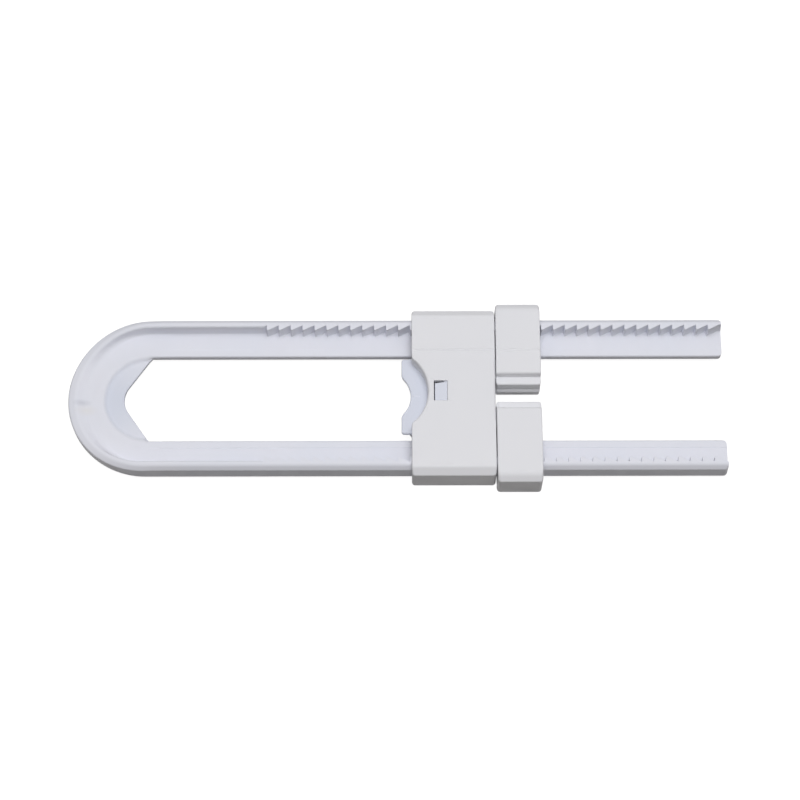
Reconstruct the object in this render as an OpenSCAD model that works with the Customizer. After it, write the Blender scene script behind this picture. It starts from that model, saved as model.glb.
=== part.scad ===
// Cabinet safety lock: a toothed U bow, a slider that runs on its two legs, and two squeeze buttons
// whose pawls catch the teeth. X runs along the legs, Y across them and Z out of the back plane.

/* [Bow] */
// Length of the bow, from the bend to the leg ends
bow_length = 200; // [180:1:240]
// Width over the two legs
bow_width = 48.6; // [48:0.2:58]
// Width of one leg
leg_width = 10.7; // [10.2:0.1:11]
// Thickness of a leg's flat plate
plate_thickness = 2.4; // [1.8:0.1:2.8]
// Height of the rim along the outer edge
rim_height = 7.4; // [7:0.1:9]
// Thickness of the rim at the roots of the teeth
rim_thickness = 2.2; // [1.9:0.1:2.4]
// Thickness of the plain rim, round the bend and up to the first tooth
plain_rim = 2.75; // [2.4:0.05:3]
// Radius on the outer top edge of the rim
rim_fillet = 1.7; // [0.4:0.1:1.8]
// Width of the raised strip along a leg's inner edge
strip_width = 2.4; // [1:0.1:3]
// Rise of that strip above the plate
strip_rise = 0.15; // [0.1:0.05:0.25]
// Corner radius at the leg ends
leg_end_radius = 1.4; // [0.5:0.1:2]
// Thickness of the gusset inside the bend
gusset_thickness = 1.4; // [0.8:0.1:1.8]
// From the outer edge of the bend to the bottom of the knob notch
notch_setback = 16.9; // [14:0.1:20]
// Radius at the bottom of the knob notch
notch_radius = 4.8; // [2:0.1:7]
// Angle between the sides of the knob notch and the legs
notch_angle = 57; // [45:1:65]

/* [Teeth] */
// Ratchet teeth on each leg
tooth_count = 38; // [30:1:40]
// Pitch of the teeth
tooth_pitch = 3.65; // [3.4:0.01:3.8]
// Depth of a tooth
tooth_depth = 1.65; // [1.2:0.05:1.7]
// Flat at the tip of a tooth
tooth_tip = 0.3; // [0.1:0.05:0.5]
// From the root of the last tooth to the leg ends
rack_setback = 0.9; // [0.3:0.1:1.5]
// Teeth left between the front pawl tooth and the leg ends
free_teeth = 16; // [8:1:24]

/* [Slider] */
// Length of the housing along the legs
slider_length = 25.3; // [24:0.1:32]
// Side walls of the housing
side_wall = 2.1; // [1.6:0.1:3]
// Front wall of the housing and of the buttons
front_wall = 1.7; // [1.4:0.1:2.4]
// Thickness of the back plates
back_plate = 1.5; // [1.2:0.1:2]
// Walls between the leg passages and the middle of the housing
rib_wall = 1.1; // [1:0.1:1.6]
// End wall that the button arms pass through
end_wall = 1.5; // [1.2:0.1:2]
// Clearance between the bow and what runs on it
run_clearance = 0.3; // [0.2:0.05:0.4]
// Radius along the front edges of the housing
slider_fillet = 2.1; // [0.6:0.1:2.1]
// Corner radius of the housing seen from the front
slider_corner = 1; // [0.3:0.1:1.8]
// Edge radius at the two ends of the housing
slider_edge = 0.3; // [0.2:0.1:1]
// Width of the scoop at the mouth
scoop_width = 20.8; // [16:0.2:23.8]
// Depth of the scoop
scoop_depth = 4.9; // [3:0.1:5.5]
// Wall around the scoop
scoop_wall = 1.5; // [1:0.1:1.6]
// Length of the window along the legs
window_length = 4.1; // [3.8:0.1:5]
// Width of the window
window_width = 6.4; // [5:0.1:8]
// From the bottom of the scoop to the window
window_setback = 1.8; // [1.6:0.1:2.4]

/* [Knob rest] */
// Overhang of the knob rest past the housing
rest_overhang = 3.1; // [2.5:0.1:6]
// Height of the knob rest above the back plane
rest_level = 6; // [4.5:0.1:7]
// Thickness of the knob rest
rest_thickness = 1.4; // [1:0.1:2]
// Depth of the notch in the knob rest
rest_notch_depth = 2.8; // [1.5:0.1:4]
// Radius of that notch
rest_notch_radius = 8; // [6:0.1:10]
// Radius of the two lobes beside the notch
rest_lobe_radius = 3; // [1.5:0.1:4]
// Corner radius of the knob rest
rest_corner = 0.8; // [0.5:0.1:2.5]

/* [Buttons] */
// Length of a button along the legs
button_length = 13.6; // [12:0.1:18]
// Gap between the buttons and the housing
button_gap = 0.3; // [0.3:0.05:0.8]
// Press travel of a button
button_travel = 2; // [1.9:0.05:2.05]
// Outer wall of a button
button_wall = 2.15; // [1.8:0.05:3]
// Gap between the two buttons at their inner ends
squeeze_gap = 5.4; // [5.3:0.1:6.6]
// Radius along the outer front edge of a button
button_fillet = 0.8; // [0.6:0.1:2]
// Corner radius of a button seen from the front
button_corner = 0.8; // [0.3:0.1:1.5]
// Edge radius at the two ends of a button
button_edge = 0.3; // [0.2:0.1:1]
// Width of the ledge at a button's inner end
ledge_width = 2.5; // [1.5:0.1:5]
// Drop from a button's front to the ledge
ledge_drop = 2.5; // [1.9:0.1:2.7]
// Height of a button's back layer at its inner end
back_layer = 4.8; // [3.8:0.1:5]
// Height of the parting line across that end
parting_level = 4; // [2.8:0.1:4.2]
// Reach of the parting line past the ledge
back_lip = 0.6; // [0.1:0.05:0.65]
// Teeth on each pawl
pawl_teeth = 2; // [1:1:2]
// From the button's face at the housing to the steep face of its front pawl tooth
pawl_setback = 6.5; // [6:0.02:8]
// Clearance between pawl and rail teeth in mesh
mesh_clearance = 0.25; // [0.15:0.05:0.35]

/* [Springs] */
// Outer diameter of a button spring
spring_diameter = 3.6; // [3:0.1:4]
// Wire diameter of a button spring
spring_wire = 0.5; // [0.3:0.05:0.6]
// Turns of a button spring
spring_turns = 7; // [5:1:9]

/* [Hidden] */
$fn = 64;

// Every cut runs past the face that it opens by this much
overrun = 1;
// Clearance between pieces that snap together
fit_clearance = 0.1;
cool_white = "#eceef4";
warm_white = "#f4f4f2";
steel_grey = "#a9adb3";

// Bow: places across and up
bow_half = bow_width / 2;
leg_inner = bow_half - leg_width;
rim_inner = bow_half - rim_thickness;
plain_inner = bow_half - plain_rim;
leg_base = back_plate + run_clearance;
plate_top = leg_base + plate_thickness;
rim_top = leg_base + rim_height;
// Bow: places along
bend_tip = -bow_length / 2;
leg_end = bow_length / 2;
bend_x = bend_tip + bow_half;
tooth_apex = rim_inner - tooth_depth;
ramp_slope = tooth_depth / (tooth_pitch - tooth_tip);
rack_end = leg_end - rack_setback;
rack_start = rack_end - tooth_count * tooth_pitch - (rim_inner - plain_inner) / ramp_slope;
notch_x = bend_tip + notch_setback + notch_radius;
notch_side = [notch_x - notch_radius * sin(notch_angle), notch_radius * cos(notch_angle)];
notch_mouth = [notch_side[0] + (leg_inner - notch_side[1]) / tan(notch_angle), leg_inner];

// Slider and buttons: places along, counted from the tooth that holds the front pawl tooth
pawl_face = rack_end - (free_teeth + 1) * tooth_pitch - mesh_clearance;
button_left = pawl_face - pawl_setback;
button_right = button_left + button_length;
slider_right = button_left - button_gap;
slider_left = slider_right - slider_length;
// Slider: places across and up
passage_outer = bow_half + run_clearance;
passage_inner = leg_inner - run_clearance;
middle_half = passage_inner - rib_wall;
slider_half = passage_outer + side_wall;
front_inside = rim_top + run_clearance;
slider_height = front_inside + front_wall;
end_inside = slider_right - end_wall;
scoop_radius = (scoop_width * scoop_width / 4 + scoop_depth * scoop_depth) / (2 * scoop_depth);
scoop_x = slider_left + scoop_depth - scoop_radius;
scoop_outside = scoop_radius + scoop_wall;
window_left = slider_left + scoop_depth + window_setback;
window_right = window_left + window_length;
// Snap: a shelf at the end of the window, which the nib of the tongue hooks over
shelf_width = 0.9;
shelf_top = front_inside + front_wall / 2;
tongue_gap = 0.3;
tongue_slant = 0.5;
tongue_recess = 0.35;
// Knob rest
rest_left = slider_left - rest_overhang;
rest_half = middle_half - fit_clearance;
rest_base = rest_level - rest_thickness;
rest_notch_x = rest_left + rest_notch_depth - rest_notch_radius;
rest_lobe_x = rest_left + rest_lobe_radius;
rest_lobe_y = sqrt(pow(rest_notch_radius + rest_lobe_radius, 2) - pow(rest_lobe_x - rest_notch_x, 2));

// Buttons: places across and up
button_inner = squeeze_gap / 2;
button_outside = passage_outer + button_travel;
button_half = button_outside + button_wall;
ledge_level = slider_height - ledge_drop;
pawl_root = tooth_apex - run_clearance;
pawl_base = plate_top + run_clearance;
// Arm and spring carriage of a pawl carrier, inside the housing
carriage_length = 6.3;
carriage_thickness = 2.9;
carriage_outer = middle_half - run_clearance;
carriage_inner = carriage_outer - carriage_thickness;
carriage_right = end_inside - run_clearance;
carriage_left = carriage_right - carriage_length;
carriage_base = back_plate + run_clearance;
carriage_top = front_inside - run_clearance;
arm_stop = 1.2;
arm_outer = middle_half - arm_stop - fit_clearance;
arm_width = 6;
arm_inner = arm_outer - arm_width;
arm_base = back_layer;
arm_top = carriage_top - arm_stop;
arm_root = 0.8;
slot_outer = arm_outer + fit_clearance;
slot_inner = arm_inner - button_travel - fit_clearance;
slot_top = arm_top + run_clearance;
sill_top = arm_base - run_clearance;
// Spring, between a pocket in the carriage and a rib of the back shell
spring_x = (carriage_left + carriage_right) / 2;
spring_z = (back_plate + front_inside) / 2;
seat_rib = 1;
seat_gap = 0.05;
pocket_depth = 1.2;
pocket_radius = spring_diameter / 2 + run_clearance;
spigot_length = 1.2;
spigot_radius = spring_diameter / 2 - spring_wire - 2 * fit_clearance;
coil_radius = (spring_diameter - spring_wire) / 2;
coil_start = seat_rib + spring_wire / 2 + seat_gap;
coil_end = carriage_inner + pocket_depth - spring_wire / 2 - seat_gap;
coil_rings = 12;
wire_sides = 6;
echo(least_gap_in_spring = (coil_end - coil_start) / spring_turns - spring_wire);

// Profiles and how they are carried

// What a round corner leaves of a square one: the inside of the corner lies towards -X and -Y before turning
module corner_cut(corner, turn, radius) {
    translate(corner) rotate(turn) translate([-radius, -radius]) difference() {
        square(radius + overrun);
        circle(radius);
    }
}

// A plate between two corners, with one radius for each corner, anticlockwise from the upper right
module rounded_plate(low, high, radii) {
    difference() {
        translate(low) square(high - low);
        corner_cut(high, 0, radii[0]);
        corner_cut([low[0], high[1]], 90, radii[1]);
        corner_cut(low, 180, radii[2]);
        corner_cut([high[0], low[1]], 270, radii[3]);
    }
}

module plate(low, high) {
    translate(low) square(high - low);
}

// Carries a profile drawn in Y and Z along X
module along_x(low, high) {
    translate([low, 0, 0]) rotate([90, 0, 90]) linear_extrude(high - low) children();
}

// Carries a profile drawn in X and Z along Y
module along_y(low, high) {
    translate([0, high, 0]) rotate([90, 0, 0]) linear_extrude(high - low) children();
}

// Carries a profile drawn in X and Y along Z
module along_z(low, high) {
    translate([0, 0, low]) linear_extrude(high - low) children();
}

// A piece and its mirror image across the middle of the lock
module both_sides() {
    children();
    mirror([0, 1, 0]) children();
}

// Bow

module rail_section(rim_face) {
    difference() {
        union() {
            plate([leg_inner, leg_base], [bow_half, plate_top]);
            plate([rim_face, leg_base], [bow_half, rim_top]);
        }
        corner_cut([bow_half, rim_top], 0, rim_fillet);
    }
}

module leg_section() {
    rail_section(rim_inner);
    plate([leg_inner, leg_base], [leg_inner + strip_width, plate_top + strip_rise]);
}

// The plain rim slopes down to the root of the first tooth. Steep faces look towards the bend, and each
// ramp runs out at the next tooth
function rack_outline() = concat(
    [[leg_end, rim_inner], [leg_end, bow_half - rim_thickness / 2]],
    [[bend_x, bow_half - rim_thickness / 2], [bend_x, plain_inner], [rack_start, plain_inner]],
    [
        for (tooth = [tooth_count:-1:1], step = [0:2])
            [
                rack_end - tooth * tooth_pitch + (step == 2 ? tooth_tip : 0),
                step == 0 ? rim_inner : tooth_apex
            ]
    ],
    [[rack_end, rim_inner]]
);

module toothed_leg() {
    difference() {
        union() {
            along_x(bend_x, leg_end) leg_section();
            along_z((leg_base + plate_top) / 2, rim_top) polygon(rack_outline());
        }
        along_z(leg_base - overrun, rim_top + overrun) {
            corner_cut([leg_end, bow_half], 0, leg_end_radius);
            corner_cut([leg_end, leg_inner], 270, leg_end_radius);
        }
    }
}

module knob_notch() {
    translate([notch_x, 0]) circle(notch_radius);
    polygon([
        notch_side,
        notch_mouth,
        [notch_mouth[0], -notch_mouth[1]],
        [notch_side[0], -notch_side[1]]
    ]);
}

module gusset_outline() {
    difference() {
        union() {
            intersection() {
                translate([bend_x, 0]) circle(leg_inner + strip_width);
                plate([bend_tip, -bow_half], [bend_x, bow_half]);
            }
            plate([bend_x - strip_width, -leg_inner], [notch_mouth[0], leg_inner]);
        }
        knob_notch();
    }
}

module u_bow() {
    color(cool_white) {
        both_sides() toothed_leg();
        translate([bend_x, 0, 0]) rotate([0, 0, 90]) rotate_extrude(angle = 180) rail_section(plain_inner);
        along_z(leg_base, leg_base + gusset_thickness) gusset_outline();
    }
}

// Slider

module slider_outside() {
    corners = [slider_corner, slider_corner, slider_corner, slider_corner];
    intersection() {
        along_x(slider_left, slider_right)
            rounded_plate(
                [-slider_half, 0],
                [slider_half, slider_height],
                [slider_fillet, slider_fillet, slider_edge, slider_edge]
            );
        along_z(0, slider_height)
            rounded_plate([slider_left, -slider_half], [slider_right, slider_half], corners);
        along_y(-slider_half, slider_half) difference() {
            plate([slider_left, 0], [slider_right, slider_height]);
            corner_cut([slider_right, slider_height], 0, slider_edge);
            corner_cut([slider_left, slider_height], 90, slider_edge);
        }
    }
}

// The room between the scoop and the end wall, where the button arms and the springs are
module middle_outline() {
    difference() {
        plate([slider_left + scoop_wall, -middle_half], [end_inside, middle_half]);
        translate([scoop_x, 0]) circle(scoop_outside);
    }
}

module window_cut() {
    low = [window_left, -window_width / 2];
    along_z(shelf_top, slider_height + overrun) plate(low, [window_right, window_width / 2]);
    along_z(front_inside - overrun, shelf_top + overrun)
        plate(low, [window_right - shelf_width, window_width / 2]);
}

module slider_front_shell() {
    color(warm_white) difference() {
        slider_outside();
        along_x(slider_left - overrun, slider_right + overrun) {
            plate([-passage_outer, -overrun], [passage_outer, back_plate]);
            plate([passage_inner, 0], [passage_outer, front_inside]);
            plate([-passage_outer, 0], [-passage_inner, front_inside]);
        }
        along_z(0, front_inside) middle_outline();
        along_z(0, rest_level + fit_clearance)
            plate([slider_left - overrun, -middle_half], [window_left, middle_half]);
        along_z(0, slider_height + overrun) translate([scoop_x, 0]) circle(scoop_radius);
        window_cut();
        both_sides() along_x(end_inside - overrun, slider_right + overrun)
            plate([slot_inner, 0], [slot_outer, slot_top]);
    }
}

module knob_rest_outline() {
    lobes = [[rest_lobe_x, rest_lobe_y], [rest_lobe_x, -rest_lobe_y]];
    difference() {
        intersection() {
            rounded_plate(
                [rest_left, -rest_half],
                [scoop_x + scoop_outside, rest_half],
                [0, rest_corner, rest_corner, 0]
            );
            union() {
                translate([scoop_x, 0]) circle(scoop_outside);
                plate([rest_left, -rest_half], [slider_left, rest_half]);
            }
        }
        translate([rest_notch_x, 0]) circle(rest_notch_radius);
        difference() {
            polygon([
                [rest_left, rest_lobe_y],
                lobes[0],
                [rest_notch_x, 0],
                lobes[1],
                [rest_left, -rest_lobe_y]
            ]);
            for (lobe = lobes)
                translate(lobe) circle(rest_lobe_radius);
        }
    }
}

// The wall that carries the knob rest, in line with the scoop wall above it
module rest_wall_outline() {
    intersection() {
        difference() {
            translate([scoop_x, 0]) circle(scoop_outside);
            translate([scoop_x, 0]) circle(scoop_radius);
        }
        plate([slider_left, -rest_half], [slider_right, rest_half]);
    }
}

module snap_tongue() {
    left = window_left + tongue_gap;
    low = fit_clearance - window_width / 2;
    high = window_width / 2 - tongue_gap;
    stem_right = window_right - shelf_width - fit_clearance;
    nib_right = window_right - fit_clearance;
    along_z(0, slider_height - tongue_recess)
        polygon([[left, low], [stem_right, low], [stem_right, high], [left, high - tongue_slant]]);
    along_z(shelf_top + fit_clearance, slider_height - tongue_recess)
        plate([stem_right - fit_clearance, low], [nib_right, high]);
}

module spring_rib() {
    along_z(0, carriage_top) plate([carriage_left, -seat_rib], [carriage_right, seat_rib]);
    translate([spring_x, 0, spring_z]) rotate([90, 0, 0])
        cylinder(h = 2 * (seat_rib + spigot_length), r = spigot_radius, center = true);
}

module slider_back_shell() {
    color(cool_white) {
        along_z(0, back_plate)
            plate(
                [slider_left, fit_clearance - passage_outer],
                [slider_right, passage_outer - fit_clearance]
            );
        along_z(rest_base, rest_level) knob_rest_outline();
        along_z(0, rest_level) rest_wall_outline();
        snap_tongue();
        spring_rib();
        both_sides() along_z(0, sill_top)
            plate([end_inside, slot_inner + fit_clearance], [slider_right, slot_outer - fit_clearance]);
    }
}

// Buttons, drawn on the upper leg

// Rounds the plan corners and the front edges of a button's three layers alike
module button_outside_form() {
    corners = [button_corner, button_corner, button_corner, button_corner];
    low = button_inner - back_lip;
    intersection() {
        children();
        along_z(0, slider_height)
            rounded_plate([button_left, low], [button_right, button_half], corners);
        along_y(low, button_half) difference() {
            plate([button_left, 0], [button_right, slider_height]);
            corner_cut([button_right, slider_height], 0, button_edge);
            corner_cut([button_left, slider_height], 90, button_edge);
        }
    }
}

module button_cap() {
    color(warm_white) button_outside_form() along_x(button_left, button_right) difference() {
        rounded_plate(
            [button_inner + ledge_width, 0],
            [button_half, slider_height],
            [button_fillet, button_edge, 0, button_edge]
        );
        plate([0, -overrun], [pawl_root, ledge_level]);
        plate([pawl_root - overrun, -overrun], [button_outside, front_inside]);
    }
}

function pawl_outline() = concat(
    [[pawl_face, pawl_root - carriage_thickness]],
    [
        for (tooth = [0:pawl_teeth - 1], step = [0:2])
            let (steep = pawl_face - tooth * tooth_pitch)
            [
                step == 2 ? steep - tooth_pitch + mesh_clearance + tooth_tip : steep,
                step == 1 ? rim_inner - mesh_clearance : pawl_root
            ]
    ],
    [[button_left, pawl_root], [button_left, pawl_root - carriage_thickness]]
);

module pawl_carrier() {
    color(warm_white) {
        button_outside_form() along_x(button_left, button_right) difference() {
            rounded_plate(
                [button_inner, back_layer],
                [pawl_root, ledge_level],
                [0, button_edge, 0, 0]
            );
            plate([passage_inner, 0], [button_half, pawl_base]);
        }
        intersection() {
            along_z(pawl_base, ledge_level) polygon(pawl_outline());
            along_x(button_left, button_right) plate([0, 0], [button_half, slider_height]);
        }
        along_z(arm_base, arm_top)
            plate(
                [carriage_right - arm_root, arm_inner],
                [button_left + button_corner + arm_root, arm_outer]
            );
        difference() {
            along_z(carriage_base, carriage_top)
                plate([carriage_left, carriage_inner], [carriage_right, carriage_outer]);
            translate([spring_x, carriage_inner + pocket_depth, spring_z]) rotate([90, 0, 0])
                cylinder(h = pocket_depth + overrun, r = pocket_radius);
        }
    }
}

// Both halves of the inner end lean back from the parting line
module button_back() {
    color(warm_white) button_outside_form() along_x(button_left, button_right)
        polygon([
            [button_inner, 0],
            [button_outside, 0],
            [button_outside, back_plate],
            [passage_inner, back_plate],
            [passage_inner, back_layer],
            [button_inner, back_layer],
            [button_inner - back_lip, parting_level]
        ]);
}

// A coil spring along Y: rings of the wire, carried up a helix
function coil_point(ring, side) =
    let (
        turn = 360 * ring / coil_rings,
        around = 360 * side / wire_sides,
        reach = coil_radius + spring_wire / 2 * cos(around),
        rise = coil_start + (coil_end - coil_start) * ring / (coil_rings * spring_turns)
    )
    [
        spring_x + reach * cos(turn),
        rise + spring_wire / 2 * sin(around),
        spring_z + reach * sin(turn)
    ];

module button_spring() {
    last = coil_rings * spring_turns;
    points = [for (ring = [0:last], side = [0:wire_sides - 1]) coil_point(ring, side)];
    sides = [
        for (ring = [0:last - 1], side = [0:wire_sides - 1])
            let (
                here = ring * wire_sides,
                next = (side + 1) % wire_sides,
                a = here + side,
                b = here + next,
                c = here + wire_sides + next,
                d = here + wire_sides + side
            )
            each [[a, b, c], [a, c, d]]
    ];
    first_cap = [for (side = [1:wire_sides - 2]) [0, side + 1, side]];
    last_cap = [for (side = [1:wire_sides - 2]) [for (k = [0, side, side + 1]) last * wire_sides + k]];
    color(steel_grey) polyhedron(points, concat(sides, first_cap, last_cap));
}

module upper_button_cap() {
    button_cap();
}

module upper_pawl_carrier() {
    pawl_carrier();
}

module upper_button_back() {
    button_back();
}

module upper_spring() {
    button_spring();
}

module lower_button_cap() {
    mirror([0, 1, 0]) button_cap();
}

module lower_pawl_carrier() {
    mirror([0, 1, 0]) pawl_carrier();
}

module lower_button_back() {
    mirror([0, 1, 0]) button_back();
}

// Both springs are wound the same way, so the lower one is the upper one turned round
module lower_spring() {
    translate([spring_x, 0, 0]) rotate(180) translate([-spring_x, 0, 0]) button_spring();
}

u_bow();
slider_front_shell();
slider_back_shell();
upper_button_cap();
upper_pawl_carrier();
upper_button_back();
upper_spring();
lower_button_cap();
lower_pawl_carrier();
lower_button_back();
lower_spring();
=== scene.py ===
import bpy
import bmesh
import numpy as np
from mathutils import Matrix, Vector


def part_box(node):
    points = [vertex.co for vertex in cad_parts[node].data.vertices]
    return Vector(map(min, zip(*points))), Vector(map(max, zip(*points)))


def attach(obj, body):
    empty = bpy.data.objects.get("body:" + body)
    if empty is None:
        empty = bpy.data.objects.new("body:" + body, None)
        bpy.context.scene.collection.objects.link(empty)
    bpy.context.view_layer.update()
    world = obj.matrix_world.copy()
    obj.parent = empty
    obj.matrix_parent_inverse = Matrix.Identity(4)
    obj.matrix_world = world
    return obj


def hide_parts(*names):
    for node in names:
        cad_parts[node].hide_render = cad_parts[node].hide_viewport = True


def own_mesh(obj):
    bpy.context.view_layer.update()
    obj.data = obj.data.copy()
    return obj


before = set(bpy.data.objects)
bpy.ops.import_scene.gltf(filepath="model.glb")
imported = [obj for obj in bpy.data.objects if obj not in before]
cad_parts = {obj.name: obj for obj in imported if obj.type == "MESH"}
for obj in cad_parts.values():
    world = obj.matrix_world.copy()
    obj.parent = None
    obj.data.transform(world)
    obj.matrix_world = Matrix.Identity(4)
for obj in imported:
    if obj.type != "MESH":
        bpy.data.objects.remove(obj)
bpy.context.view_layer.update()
mm = 0.001  # every length below is in millimetres
tiny = 0.001  # two places closer than this are the same
print("frame loaded:", len(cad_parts), "solids")


def boxOf(node):  # lowest and highest corner of a solid
    low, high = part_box(node)
    return np.array(low) / mm, np.array(high) / mm


# Outlines and surfaces

surface = {"leastRadius": 0.01, "mergeWithin": 0.0002, "smoothBelow": 38.0}  # the last in degrees


def unit(vectors):  # each one divided by its length
    return vectors / np.linalg.norm(vectors, axis=-1, keepdims=True)


# Round corners: from each corner the arc starts and ends at radius / tan(half angle) along its two
# edges, and its points turn evenly from one tangent point to the other.
# corners (..., n, 2) and radii (..., n) give points (..., n * steps, 2)
def roundCorners(corners, radii, steps=6):
    toLast = unit(np.roll(corners, 1, axis=-2) - corners)
    toNext = unit(np.roll(corners, -1, axis=-2) - corners)
    half = np.arccos(np.clip((toLast * toNext).sum(-1), -1, 1))[..., None, None] / 2
    radii = radii[..., None, None]
    middle = unit(toLast + toNext)[..., None, :]
    corners = corners[..., None, :]
    centre = corners + middle * radii / np.sin(half)
    start = corners + toLast[..., None, :] * radii / np.tan(half) - centre
    finish = corners + toNext[..., None, :] * radii / np.tan(half) - centre
    sweep = np.pi - 2 * half
    share = np.linspace(0, 1, steps)[:, None]
    turned = start * np.sin((1 - share) * sweep) + finish * np.sin(share * sweep)
    points = centre + turned / np.sin(sweep)
    return points.reshape(*points.shape[:-3], -1, 2)


# Draw an anticlockwise outline in: each corner moves along the sum of its two edges' inward normals
# so that both edges move by the same depth, convex corners lose that much radius, hollow ones gain it.
# depth (rings,) gives corners (rings, n, 2) and radii (rings, n)
def drawIn(corners, radii, depth):
    alongNext = unit(np.roll(corners, -1, axis=0) - corners)
    alongLast = np.roll(alongNext, 1, axis=0)
    inNext = np.stack([-alongNext[:, 1], alongNext[:, 0]], -1)
    inLast = np.roll(inNext, 1, axis=0)
    reach = (inNext + inLast) / (1 + (inNext * inLast).sum(-1, keepdims=True))
    convex = np.where(alongLast[:, 0] * alongNext[:, 1] > alongLast[:, 1] * alongNext[:, 0], 1, -1)
    return (corners + depth[:, None, None] * reach,
            np.maximum(radii - depth[:, None] * convex, surface["leastRadius"]))


# Height and draw-in of a bar's rings: a quarter circle at each end,
# depth = edge * (1 - sin), rise = edge * (1 - cos)
def endRounding(low, high, edge, steps=5):
    turn = np.linspace(0, np.pi / 2, steps)
    depth = edge * (1 - np.sin(turn))
    rise = edge * (1 - np.cos(turn))
    return (np.concatenate([depth, depth[::-1]]),
            np.concatenate([low + rise, high - rise[::-1]]))


# One grid from an outline (rings, n, 2) for each height (rings,)
def stacked(outline, height):
    height = np.broadcast_to(height[:, None, None], outline.shape[:-1] + (1,))
    return np.concatenate([outline, height], -1)


# Turn a surface drawn as (outline, outline, height) so that its height runs along x, y or z
def alongAxis(grid, axis):
    order = {"x": (2, 0, 1), "y": (0, 2, 1), "z": (0, 1, 2)}[axis]
    return grid[..., order]


# A bar with rounded corners and rounded ends: the outline carried from low to high along an axis.
# Near its ends the corners marked in outer, with 1 or -1 for their side, also give way by a larger
# quarter circle, the round corner
def bar(corners, radii, low, high, edge, axis, steps=6, outer=None, corner=0.0):
    give, height = endRounding(low, high, max(edge, corner), steps=9)
    fromEnd = np.clip(np.minimum(height - low, high - height), 0, edge)
    depth = edge - np.sqrt(edge ** 2 - (edge - fromEnd) ** 2)
    corners, radii = drawIn(np.array(corners, float), np.array(radii, float), depth)
    if outer is not None:
        corners[..., 0] -= give[:, None] * np.array(outer)
    return tube(alongAxis(stacked(roundCorners(corners, radii, steps), height), axis))


def block(low, high, radius, edge, axis="z"):  # a bar with a plain rectangle as its outline
    a, b, along = {"x": (1, 2, 0), "z": (0, 1, 2)}[axis]
    corners = [(low[a], low[b]), (high[a], low[b]), (high[a], high[b]), (low[a], high[b])]
    return bar(corners, [radius] * 4, low[along], high[along], edge, axis)


# A plate with any smooth outline (n, 2), anticlockwise: near its two faces the outline draws in
# along its own normals, which are its tangents turned a quarter
def plate(outline, low, high, edge):
    tangent = unit(np.roll(outline, -1, axis=0) - np.roll(outline, 1, axis=0))
    inward = np.stack([-tangent[:, 1], tangent[:, 0]], -1)
    depth, height = endRounding(low, high, edge)
    return tube(stacked(outline + depth[:, None, None] * inward, height))


def arc(centre, radius, start, finish, steps=40):  # points on a circle, angles in degrees
    turn = np.radians(np.linspace(start, finish, steps))
    return np.stack([centre[0] + radius * np.cos(turn), centre[1] + radius * np.sin(turn)], -1)


# Faces of a grid (rings, around, 3) that closes on itself around, with a face over each end
def tube(grid):
    rings, around = grid.shape[:2]
    index = np.arange(rings * around).reshape(rings, around)
    turned = np.roll(index, -1, axis=1)
    quads = np.stack([index[:-1], turned[:-1], turned[1:], index[1:]], -1).reshape(-1, 4)
    ends = [index[0, ::-1].tolist(), index[-1].tolist()]
    return grid.reshape(-1, 3), quads.tolist() + ends


def mirrored(shells):  # the same surfaces on the lower leg
    flip = np.array([1, -1, 1])
    return [(points * flip, faces) for points, faces in shells]


# One object from several closed surfaces: doubles merged, faces turned outwards, crisp edges kept.
# paintedShade says how much painted shade each surface takes, on thin webs and recessed faces, one
# value for each surface or each point
def makePiece(name, shells, body, nodes, material, paintedShade=None):
    first = np.cumsum([0] + [len(points) for points, faces in shells])
    points = np.concatenate([points for points, faces in shells]) * mm
    faces = [[int(first[k]) + i for i in face] for k, (_, some) in enumerate(shells) for face in some]
    mesh = bpy.data.meshes.new(name)
    mesh.from_pydata(points.tolist(), [], faces)
    paintedShade = [0.0] * len(shells) if paintedShade is None else paintedShade
    paintedShade = [np.broadcast_to(value, len(some)) for value, (some, _) in zip(paintedShade, shells)]
    paintedShade = np.concatenate(paintedShade).astype(np.float32)
    mesh.attributes.new("paintedShade", "FLOAT", "POINT").data.foreach_set("value", paintedShade)
    work = bmesh.new()
    work.from_mesh(mesh)
    bmesh.ops.remove_doubles(work, verts=work.verts, dist=surface["mergeWithin"] * mm)
    bmesh.ops.recalc_face_normals(work, faces=work.faces)
    work.to_mesh(mesh)
    work.free()
    mesh.shade_smooth()
    mesh.set_sharp_from_angle(angle=np.radians(surface["smoothBelow"]))
    piece = bpy.data.objects.new(name, mesh)
    bpy.context.scene.collection.objects.link(piece)
    flatten = piece.modifiers.new("flatFaces", "WEIGHTED_NORMAL")
    flatten.keep_sharp = True
    mesh.materials.append(material)
    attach(piece, body)
    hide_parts(*nodes)
    print("made", name, "with", len(mesh.polygons), "faces")
    return piece


# Finishes

plastic = {  # what both mouldings share; the spans are parts of a noise that runs from 0 to 1
    "roughness": (0.45, 0.58), "specular": 0.15, "driftSpan": (0.35, 0.65), "glossSpan": (0.3, 0.7),
    "glossFiner": 3,  # times finer than the drift of the tint
    "grainSize": 0.35, "grainDetail": 4.0, "grainHeight": 0.25,
}
bowFinish = {
    **plastic, "colour": (0.880, 0.890, 0.955), "tint": (0.862, 0.880, 0.950), "tintSize": 18.0,
    # the colour of the painted shade on thin webs and recessed faces
    "paintedShade": (0.87, 0.90, 0.94), "grain": 0.05,
    "marks": [  # the gate mark at the foot of the rim, and the paler yellow flow of plastic beside it
        {"place": (-95.6, -1.4, 4.8), "reach": (3.2, 1.3, 3.0), "colour": (0.82, 0.82, 0.83)},
        {"place": (-94.5, -3.8, 4.2), "reach": (4.0, 2.2, 3.0), "colour": (1.00, 0.98, 0.93)},
    ],
}
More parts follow.
